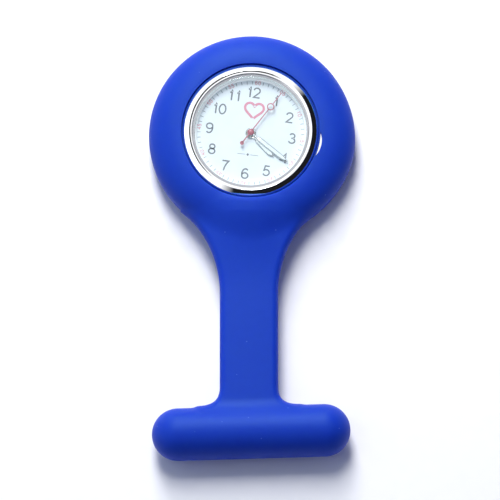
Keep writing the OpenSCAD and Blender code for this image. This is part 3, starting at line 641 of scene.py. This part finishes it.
def crown_room(p):
    """Hollow in the holder's wall for the crown."""
    r, z = np.hypot(p[:, 0], p[:, 1]), p[:, 2]
    side = (np.abs(around_crown(p)) - CROWN_ROOM_HALF_ANGLE) * r
    tall = np.abs(z - CROWN_Z) - CROWN_ROOM_HALF
    return np.maximum.reduce([tall, r - CROWN_ROOM_OUT, CROWN_ROOM_IN - r, side])


def brooch_room(p):
    """Hollow for the brooch strip, and the two windows behind it."""
    y = (BASE_LOW[1] - 0.1, BASE_HIGH[1] + 0.1)
    floor = BASE_HIGH[2] - 0.64
    room = block(p, (BASE_LOW[0] - 0.1, y[0], floor), (BASE_HIGH[0] + 0.1, y[1], BASE_HIGH[2] + 0.04))
    for x in (-13, 12.5):
        window = block(p, (x - 1.5, BAR_Y - 1.9, -1), (x + 1.5, BAR_Y + 1.9, floor + 0.1))
        room = np.minimum(room, window)
    return room


def field_gradient(p, h=0.02):
    """Gradient of the field from four samples on a tetrahedron."""
    corners = np.array([(1, -1, -1), (-1, -1, 1), (-1, 1, -1), (1, 1, 1)], float)
    total = np.zeros_like(p)
    for c in corners:
        total += c * silicone_distance(p + h * c)[:, None]
    return total / (4 * h)


def sampled_field(axes, step):
    """The field on a grid; away from the surface every third sample stands for its neighbours."""
    shape = [len(a) for a in axes]
    rough = np.stack(np.meshgrid(*[a[::3] for a in axes], indexing="ij"), -1)
    field = silicone_distance(rough.reshape(-1, 3)).reshape(rough.shape[:3])
    for d in range(3):
        field = np.repeat(field, 3, axis=d)
    field = field[:shape[0], :shape[1], :shape[2]].copy()
    near = np.argwhere(np.abs(field) < 4.5 * step)
    points = np.stack([axes[d][near[:, d]] for d in range(3)], 1)
    field[tuple(near.T)] = silicone_distance(points)
    return field


CELL_CORNERS = [(i, j, k) for i in (0, 1) for j in (0, 1) for k in (0, 1)]


def crossing_sums(field, cells):
    """Sum and number of the points where each cell's edges meet the surface, in steps of the grid."""
    total, hits = np.zeros((len(cells), 3)), np.zeros(len(cells))
    for axis in range(3):
        for corner in CELL_CORNERS:
            if corner[axis]:
                continue
            a = cells + corner
            b = a.copy()
            b[:, axis] += 1
            fa, fb = field[tuple(a.T)], field[tuple(b.T)]
            change = (fa < 0) != (fb < 0)
            t = np.where(change, fa / np.where(change, fa - fb, 1), 0)
            point = a.astype(float)
            point[:, axis] += t
            total[change] += point[change]
            hits[change] += 1
    return total, hits


def crossing_faces(inside, index):
    """A four-sided face round every grid edge that meets the surface."""
    faces = []
    for axis in range(3):
        u, v = (d for d in range(3) if d != axis)
        lower, upper = [slice(None)] * 3, [slice(None)] * 3
        lower[axis], upper[axis] = slice(0, -1), slice(1, None)
        for start, flip in ((True, axis == 1), (False, axis != 1)):
            change = (inside[tuple(lower)] == start) & (inside[tuple(upper)] != start)
            at = np.argwhere(change)
            at = at[(at[:, u] > 0) & (at[:, v] > 0)]
            quad = []
            for du, dv in ((-1, -1), (0, -1), (0, 0), (-1, 0)):
                cell = at.copy()
                cell[:, u] += du
                cell[:, v] += dv
                quad.append(index[tuple(cell.T)])
            quad = np.stack(quad, 1)
            faces.append(quad[:, ::-1] if flip else quad)
    return np.concatenate(faces)


def surface_net(field, low, step):
    """Points and four-sided faces of the field's zero surface, one point to a crossed cell."""
    inside = field < 0
    nx, ny, nz = (n - 1 for n in field.shape)
    count = sum(inside[i:i + nx, j:j + ny, k:k + nz].astype(int) for i, j, k in CELL_CORNERS)
    crossed = (count > 0) & (count < 8)
    index = np.full(crossed.shape, -1)
    index[crossed] = np.arange(crossed.sum())
    total, hits = crossing_sums(field, np.argwhere(crossed))
    return low + step * total / hits[:, None], crossing_faces(inside, index)


def relaxed(points, faces, rounds):
    """Evens out the mesh and puts every point back on the surface."""
    edges = np.concatenate([faces[:, [0, 1]], faces[:, [1, 2]], faces[:, [2, 3]], faces[:, [3, 0]]])
    for _ in range(rounds):
        total, hits = np.zeros_like(points), np.zeros(len(points))
        for a, b in ((0, 1), (1, 0)):
            np.add.at(total, edges[:, a], points[edges[:, b]])
            np.add.at(hits, edges[:, a], 1)
        points = 0.5 * points + 0.5 * total / hits[:, None]
        for _ in range(2):
            g = field_gradient(points)
            length = np.maximum((g ** 2).sum(1), 0.2)
            points = points - g * np.clip(silicone_distance(points) / length, -0.3, 0.3)[:, None]
    return points


def cut_away(obj, verts, faces):
    """Cuts a closed shape out of an object and keeps the result as its mesh."""
    cutter = make_object("cutter", verts, faces)
    change = obj.modifiers.new("cut", "BOOLEAN")
    change.operation = "DIFFERENCE"
    change.solver = "EXACT"
    change.object = cutter
    seen = obj.evaluated_get(bpy.context.evaluated_depsgraph_get())
    obj.data = bpy.data.meshes.new_from_object(seen)
    obj.modifiers.remove(change)
    bpy.data.objects.remove(cutter)


def silicone():
    """Holder, strap and bar as the single moulding that they are."""
    step = 0.28
    low = np.array([-HOLDER_R - 1.2, BAR_Y - BAR_R - 1.2, -1.0])
    high = np.array([HOLDER_R + 1.6, HOLDER_R + 1.2, max(HOLDER_H, BAR_TOP) + 1.4])
    counts = np.ceil((high - low) / step).astype(int)
    axes = [low[d] + step * np.arange(counts[d]) for d in range(3)]
    points, faces = surface_net(sampled_field(axes, step), low, step)
    points = relaxed(points, faces, 3)
    obj = make_object("silicone_holder", points, faces.tolist())
    cut_away(obj, *lathe(pocket_outline(), 256))
    room_z, web_z = 6.4, 8.2
    cut_away(obj, *plate([guard_room_outline(CASE_R - 0.5)], [(0, room_z), (0, web_z + 0.05)]))
    cut_away(obj, *plate([guard_room_outline(EDGE_R + 0.07)], [(0, web_z), (0, GUARD_Z + 0.1)]))
    cut_away(obj, *plate([slot_outline()], [(0, GUARD_Z - 0.2), (0, HOLDER_H + 1)]))
    obj.data.shade_smooth()
    obj.data.set_sharp_from_angle(angle=math.radians(50))
    dress(obj, "blue_silicone", None, "blue_silicone", "holder_head", "holder_bar")
    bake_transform(obj)


# ------------------------------------------------------------ case and glass

def bezel():
    """Polished ring: sloped outer face, a fine step down and a flat inner band."""
    rim, seat, seen = BEZEL_HIGH[0], 12.0, FLANGE_R
    z, top = BEZEL_LOW[2], BEZEL_HIGH[2]
    edge, band = top - 0.56, max(top - 0.2, GLASS_HIGH[2] + 0.03)
    profile = (
        [(seat, z), (rim, z), (rim, edge - 0.4), (rim - 0.1, edge - 0.25), (seen + 0.03, edge - 0.03)]
        + [(seen, edge), (seen - 0.92, top - 0.04)]
        + arc(seen - 0.98, top - 0.1, 0.1, 0.1, 60, 120, 3)
        + [(seen - 1.24, band + 0.02), (seen - 1.28, band), (seen - 1.52, band)]
        + [(seat + 0.06, GLASS_HIGH[2] - 0.04), (seat, GLASS_HIGH[2] - 0.1)]
    )
    obj = make_object("bezel_ring", *lathe(profile, 256), smooth_angle=6)
    dress(obj, "chrome", "watch", "chrome", "bezel")


def glass():
    """Flat glass with a small bright bevel."""
    r = GLASS_HIGH[0]
    low, top = GLASS_LOW[2], GLASS_HIGH[2]
    profile = [(0, low), (r, low), (r, top - 0.16), (r - 0.05, top - 0.05), (r - 0.16, top), (0, top)]
    obj = make_object("crystal_lens", *lathe(profile, 256), smooth_angle=20)
    dress(obj, "mineral_glass", "watch", "mineral_glass", "crystal")


def dial_wall():
    """Sloped ring between the dial and the glass, in white plastic that glows faintly as painted light over the
    bezel's shade.
    """
    outer, low, top = RING_HIGH[0], RING_LOW[2], RING_HIGH[2]
    profile = [(11.2, low), (outer, low), (outer, top), (11.4, top)]
    profile += arc(11.28, top - 0.2, 0.08, 0.2, 60, 180, 4)
    obj = make_object("dial_wall", *lathe(profile, 256), smooth_angle=25)
    dress(obj, "white_plastic", "watch", "white_plastic", "dial_ring")


def case_back():
    """Steel back with turned rings and a dished middle."""
    r, low, top = BACK_HIGH[0], BACK_LOW[2], BACK_HIGH[2]
    inner = low + 0.5
    profile = (
        [(0, low + 0.12), (6.6, low + 0.12)]
        + arc(6.6, low + 0.32, 0.2, 0.2, -90, -60, 2)
        + [(7.0, low + 0.16), (7.2, low), (r - 0.35, low), (r, low + 0.2), (r, inner), (11.5, inner)]
        + [(11.5, top), (10.9, top), (10.9, inner), (0, inner)]
    )
    obj = make_object("case_back_plate", *lathe(profile, 192), smooth_angle=30)
    dress(obj, "ring_brushed", "watch", "brushed_steel", "caseback")


# ------------------------------------------------------------ dial print

def ribbon(points, width, closed=False):
    """Outlines of a stroke of even width along a line of points."""
    pts = np.asarray(points, float)
    if closed:
        ahead, behind = np.roll(pts, -1, 0), np.roll(pts, 1, 0)
    else:
        ahead = np.vstack([pts[1:], 2 * pts[-1] - pts[-2]])
        behind = np.vstack([2 * pts[0] - pts[1], pts[:-1]])
    e1, e2 = pts - behind, ahead - pts
    e1 /= np.linalg.norm(e1, axis=1)[:, None]
    e2 /= np.linalg.norm(e2, axis=1)[:, None]
    mid = np.stack([-(e1 + e2)[:, 1], (e1 + e2)[:, 0]], 1)
    mid *= (width / np.maximum((mid ** 2).sum(1), 0.7))[:, None]
    left, right = pts + mid, pts - mid
    if closed:
        loops = [left, right]
        return sorted(loops, key=lambda l: -abs(area(l)))
    return [np.vstack([left, right[::-1]])]


DIGIT_WIDTH = 0.6


def digit_strokes(digit):
    """Centre lines of a plain numeral, in a box 1 high; True marks a closed line."""
    w = DIGIT_WIDTH
    if digit == 0:
        return [(arc(0.3, 0.5, 0.26, 0.47, 0, 345, 23), True)]
    if digit == 1:
        return [(arc(0.04, 1.02, 0.3, 0.3, -62, -8, 4) + [(0.345, 0.97), (0.345, 0.0)], False)]
    if digit == 2:
        top = arc(0.29, 0.7, 0.245, 0.27, 170, -38, 12)
        return [(top + [(0.24, 0.24), (0.06, 0.03), (w - 0.03, 0.03)], False)]
    if digit == 3:
        top = arc(0.28, 0.745, 0.2, 0.225, 160, -90, 12)
        low = arc(0.28, 0.27, 0.25, 0.24, 90, -165, 14)
        return [(top + low, False)]
    if digit == 4:
        return [([(0.44, 0.0), (0.44, 0.95), (0.04, 0.3), (0.6, 0.3)], False)]
    if digit == 5:
        bowl = arc(0.28, 0.325, 0.255, 0.295, 135, -155, 14)
        return [([(0.52, 0.965), (0.16, 0.965), (0.095, 0.53)] + bowl, False)]
    if digit == 6:
        back = arc(0.31, 0.5, 0.265, 0.47, 48, 180, 10)
        return [(back + [(0.045, 0.4)], False), (arc(0.3, 0.3, 0.25, 0.27, 0, 345, 23), True)]
    if digit == 7:
        return [([(0.04, 0.965), (0.56, 0.965), (0.4, 0.7), (0.28, 0.38), (0.22, 0.0)], False)]
    if digit == 8:
        top = arc(0.3, 0.745, 0.205, 0.22, 0, 340, 17)
        return [(top, True), (arc(0.3, 0.275, 0.25, 0.245, 0, 345, 23), True)]
    flipped = [([(w - x, 1 - y) for x, y in pts], closed) for pts, closed in digit_strokes(6)]
    return flipped


def number_loops(text, height, stroke, wide, pitch):
    """Outlines of a number centred on the origin; wide and pitch are in parts of its height."""
    loops = []
    start = -0.5 * (pitch * (len(text) - 1) + wide)
    for i, letter in enumerate(text):
        for pts, closed in digit_strokes(int(letter)):
            left = start + i * pitch
            placed = [((x / DIGIT_WIDTH * wide + left) * height, (y - 0.5) * height) for x, y in pts]
            loops.append(ribbon(placed, stroke, closed))
    return loops


PRINT_Z = DIAL_HIGH[2]
INK_T = 0.02
HOUR_R, HOUR_HEIGHT = 8.65, 2.15
HOUR_SHIFT = {10: 0.25, 11: -0.05, 12: -0.65}
MINUTE_R, MINUTE_HEIGHT = 10.78, 0.8
TICK_HALF, TICK_IN, TICK_OUT = 0.06, 10.4, 11.08
HEART_WIDTH, HEART_Y = 3.9, 4.95
RULE_Y = -4.58


def print_on_dial(name, strokes, material):
    """Ink laid on the dial. A stroke is a list of outlines in the dial's own frame."""
    parts = []
    for loops in strokes:
        placed = [turned(loop, HEAD_TURN) for loop in loops]
        parts.append(plate(placed, [(0, PRINT_Z + 0.001), (0, PRINT_Z + INK_T)]))
    obj = make_object(name, *joined(parts))
    dress(obj, material, "watch", "dial_white")


def clock_point(radius, degrees):
    """Point at a clockwise angle from twelve."""
    a = math.radians(90 - degrees)
    return radius * math.cos(a), radius * math.sin(a)


def dial_print():
    """Hours, minutes, the track between them, a heart and a short rule."""
    hours, minutes, ticks = [], [], []
    for h in range(1, 13):
        x, y = clock_point(HOUR_R, 30 * h)
        for loops in number_loops(str(h), HOUR_HEIGHT, 0.29, 0.72, 0.68):
            hours.append([moved(l, x + HOUR_SHIFT.get(h, 0), y) for l in loops])
    for m in range(60):
        angle = -math.radians(6 * m)
        if m % 5:
            side = [(TICK_HALF, TICK_IN), (TICK_HALF, TICK_OUT)]
            ticks.append([turned(side + mirrored(side), angle)])
            continue
        text = f"{m if m else 60:02d}"
        for loops in number_loops(text, MINUTE_HEIGHT, 0.11, 0.62, 0.82):
            minutes.append([turned(moved(l, 0, MINUTE_R), angle) for l in loops])
    print_on_dial("dial_hours_print", hours, "grey_ink")
    print_on_dial("dial_minutes_print", minutes, "pink_ink")
    print_on_dial("dial_track_print", ticks, "track_ink")
    outline = moved(heart(HEART_WIDTH), 0, HEART_Y)
    print_on_dial("dial_heart_print", [ribbon(outline, 0.5, True)], "red_ink")
    print_on_dial("dial_rule_print", [[loop] for loop in rule_ornament()], "grey_ink")


def rule_ornament():
    """Two short lines with a small diamond between them."""
    line = [(0.5, -0.04), (2.2, -0.04), (2.2, 0.04), (0.5, 0.04)]
    diamond = [(0, -0.32), (0.28, 0), (0, 0.32), (-0.28, 0)]
    return [moved(shape, 0, RULE_Y) for shape in (line, mirrored(line), diamond)]


def heart(width):
    """Closed line of a heart."""
    turns = np.linspace(0, 2 * math.pi, 60, endpoint=False)
    x = 16 * np.sin(turns) ** 3
    y = 13 * np.cos(turns) - 5 * np.cos(2 * turns) - 2 * np.cos(3 * turns) - np.cos(4 * turns)
    return [(width / 32 * a, width / 32 * b) for a, b in zip(x, y)]


# ------------------------------------------------------------ hands

HAND_BEVEL = 0.17


def hand_lie(node_name):
    """Angle of a hand on the dial and its length, from where its far end lies."""
    obj = frame["nodes"][node_name]
    pts = np.array([v.co[:2] for v in obj.data.vertices]) / MM
    tip = pts[np.argmax((pts ** 2).sum(1))]
    return math.atan2(tip[1], tip[0]) - math.pi / 2, float(np.hypot(*tip))


def baton(hub, length, wide, neck):
    """Outline of a pointed baton hand with a round hub."""
    gap = math.degrees(math.asin(neck / hub))
    blade = [(neck, 1.7), (wide, 2.2), (wide, 0.84 * length), (0.04, length)]
    return arc(0, 0, hub, hub, 90 + gap, 450 - gap, 40) + blade + mirrored(blade)


def main_hand(name, hub, wide, neck, pipe, body):
    """Bevelled baton with a white fill; wide and neck are half widths, hub and pipe are radii."""
    angle, length = hand_lie(name)
    low, top = (b[2] for b in box_mm(name))
    hole = arc(0, 0, pipe, pipe, 0, 350, 35)
    loops = [turned(baton(hub, length, wide, neck), angle), turned(hole, angle)]
    levels = [(0, low), (0, top - 0.15), (HAND_BEVEL, top)]
    blade = make_object(name + "_blade", *plate(loops, levels), smooth_angle=20)
    dress(blade, "hand_silver", body, "hand_silver", name)
    inner = wide - HAND_BEVEL
    side = [(inner, 2.5), (inner, 0.83 * length), (0.03, 0.94 * length)]
    fill = turned(side + mirrored(side), angle)
    white = make_object(name + "_fill", *plate([fill], [(0, top - 0.02), (0, top + 0.015)]))
    dress(white, "hand_fill", body, "hand_silver")


def second_hand():
    """Red needle with a ring, a round tail and a domed hub."""
    angle, length = hand_lie("second_hand")
    low = box_mm("second_hand")[0][2] + 0.1
    ring_y, tail_y = 6.75, -2.9
    needle = [(-0.12, tail_y), (0.12, tail_y), (0.1, ring_y - 0.7), (-0.1, ring_y - 0.7)]
    tip = [(-0.1, ring_y + 0.7), (0.1, ring_y + 0.7), (0.06, length), (-0.06, length)]
    ring = [moved(arc(0, 0, r, r, 0, 350, 35), 0, ring_y) for r in (0.78, 0.56)]
    tail = moved(arc(0, 0, 0.42, 0.42, 0, 350, 35), 0, tail_y)
    levels = [(0, low), (0, low + 0.09), (0.03, low + 0.13)]
    parts = [plate([turned(l, angle) for l in loops], levels) for loops in ([needle], [tip], ring, [tail])]
    dome = [(0, low - 0.1), (0.66, low - 0.1), (0.66, low + 0.08)]
    dome += arc(0, low + 0.08, 0.66, 0.2, 0, 90, 8)
    parts.append(lathe(dome, 64))
    obj = make_object("second_hand_needle", *joined(parts), smooth_angle=30)
    dress(obj, "hand_red", "seconds", "hand_red", "second_hand")


# ------------------------------------------------------------ CAD nodes that stay

def dress_cad_nodes():
    """Every CAD node takes the material of its slot; small hardware gets softened edges, in mm."""
    soft = {"brooch_base": 0.08, "brooch_rivet": 0.06, "brooch_catch": 0.06, "crown": 0.05, "case_body": 0.05}
    for part in frame["record"]["subparts"]:
        obj = frame["nodes"][part["node"]]
        obj.data.materials.clear()
        obj.data.materials.append(MATERIALS[part["material_slot"]])
        obj.data.shade_smooth()
        obj.data.set_sharp_from_angle(angle=math.radians(30))
        if part["node"] in soft:
            bevel = obj.modifiers.new("edges", "BEVEL")
            bevel.width = soft[part["node"]] * MM
            bevel.segments = 2
            bevel.limit_method = "ANGLE"
            bevel.angle_limit = math.radians(40)
            bevel.harden_normals = True


# ------------------------------------------------------------ stage, light and camera

def floor():
    """Plain pale table a hair under the holder.

    It is clear from below, and to light that leaves a surface lying on it, so an underside shows.
    """
    half, z = 2.0, -0.05 * MM
    corners = [(-half, -half, z), (half, -half, z), (half, half, z), (-half, half, z)]
    mesh = bpy.data.meshes.new("floor")
    mesh.from_pydata(corners, [], [(0, 1, 2, 3)])
    obj = bpy.data.objects.new("floor", mesh)
    bpy.context.scene.collection.objects.link(obj)
    m, tree, shader = finish_material("pale_table", (0.94, 0.94, 0.945), 0, 0.6, 2.0, 0, vary=0.01)
    clear = tree.nodes.new("ShaderNodeBsdfTransparent")
    side = tree.nodes.new("ShaderNodeNewGeometry")
    path = tree.nodes.new("ShaderNodeLightPath")
    touching = remap(tree, path.outputs["Ray Length"], 0.4 * MM, 0.5 * MM, 1, 0)
    either = tree.nodes.new("ShaderNodeMath")
    either.operation = "MAXIMUM"
    tree.links.new(side.outputs["Backfacing"], either.inputs[0])
    tree.links.new(touching, either.inputs[1])
    mixer = tree.nodes.new("ShaderNodeMixShader")
    tree.links.new(either.outputs[0], mixer.inputs["Fac"])
    tree.links.new(shader.outputs[0], mixer.inputs[1])
    tree.links.new(clear.outputs[0], mixer.inputs[2])
    tree.links.new(mixer.outputs[0], tree.nodes["Material Output"].inputs["Surface"])
    mesh.materials.append(m)


def sky():
    """Dim soft surround; mirrors see white cards overhead and at the upper left, and black elsewhere."""
    world = bpy.data.worlds.new("studio")
    bpy.context.scene.world = world
    world.use_nodes = True
    tree = world.node_tree
    view = tree.nodes.new("ShaderNodeTexCoord").outputs["Generated"]

    def along(direction, low, high):
        n = tree.nodes.new("ShaderNodeVectorMath")
        n.operation = "DOT_PRODUCT"
        n.inputs[1].default_value = Vector(direction).normalized()
        tree.links.new(view, n.inputs[0])
        return remap(tree, n.outputs["Value"], low, high, 0, 1)

    fill = mix_colour(tree, along((-0.1, 0.75, 0.65), -0.5, 0.9), (0.10, 0.11, 0.20), (0.18, 0.20, 0.30))
    side = mix_colour(tree, along((-0.78, 0.58, 0.25), 0.0, 0.2), (0.012, 0.012, 0.014), (1.25, 1.25, 1.27))
    cards = mix_colour(tree, along((0, 0, 1), 0.72, 0.80), side, (1.15, 1.15, 1.16))
    mirror = tree.nodes.new("ShaderNodeLightPath").outputs["Is Glossy Ray"]
    tree.links.new(mix_colour(tree, mirror, fill, cards), tree.nodes["Background"].inputs["Color"])


def lamp(name, place, target, size, power, colour):
    """Oblong soft box; size is its width and height."""
    light = bpy.data.lights.new(name, "AREA")
    light.shape = "RECTANGLE"
    light.size, light.size_y = size
    light.energy = power
    light.color = colour
    obj = bpy.data.objects.new(name, light)
    bpy.context.scene.collection.objects.link(obj)
    obj.location = place
    obj.rotation_euler = (Vector(target) - Vector(place)).to_track_quat("-Z", "Y").to_euler()


def camera():
    """Long lens, steeply above the watch and a little to the right, upright along the strap."""
    elevation, aside = math.radians(77.4), 0.03
    target = Vector((-0.19, -24.55, 6.0)) * MM
    back = Vector((aside, -math.cos(elevation), math.sin(elevation))).normalized()
    right = Vector((0, 1, 0)).cross(back).normalized()
    up = back.cross(right)
    data = bpy.data.cameras.new("camera")
    data.lens = 400
    data.sensor_width = 36
    data.clip_start, data.clip_end = 0.01, 10
    frame_width = 102.95 * MM
    distance = frame_width * data.lens / data.sensor_width
    obj = bpy.data.objects.new("camera", data)
    bpy.context.scene.collection.objects.link(obj)
    obj.matrix_world = Matrix.Translation(target + back * distance) @ Matrix(
        (right, up, back)).transposed().to_4x4()
    bpy.context.scene.camera = obj


# ------------------------------------------------------------ build

dress_cad_nodes()
silicone()
bezel()
glass()
dial_wall()
case_back()
dial_print()
main_hand("hour_hand", 1.08, 0.55, 0.25, 0.77, "hours")
main_hand("minute_hand", 0.85, 0.48, 0.22, 0.46, "minutes")
second_hand()
floor()
sky()
lamp("key", (-0.06, 0.385, 0.455), (0, -0.02, 0), (0.2, 0.5), 5.25, (1, 1, 1))
lamp("left", (-0.25, 0.0, 0.30), (0, -0.02, 0), (0.35, 0.35), 0.22, (0.75, 0.9, 1))
camera()
bpy.context.scene.view_settings.view_transform = "Standard"
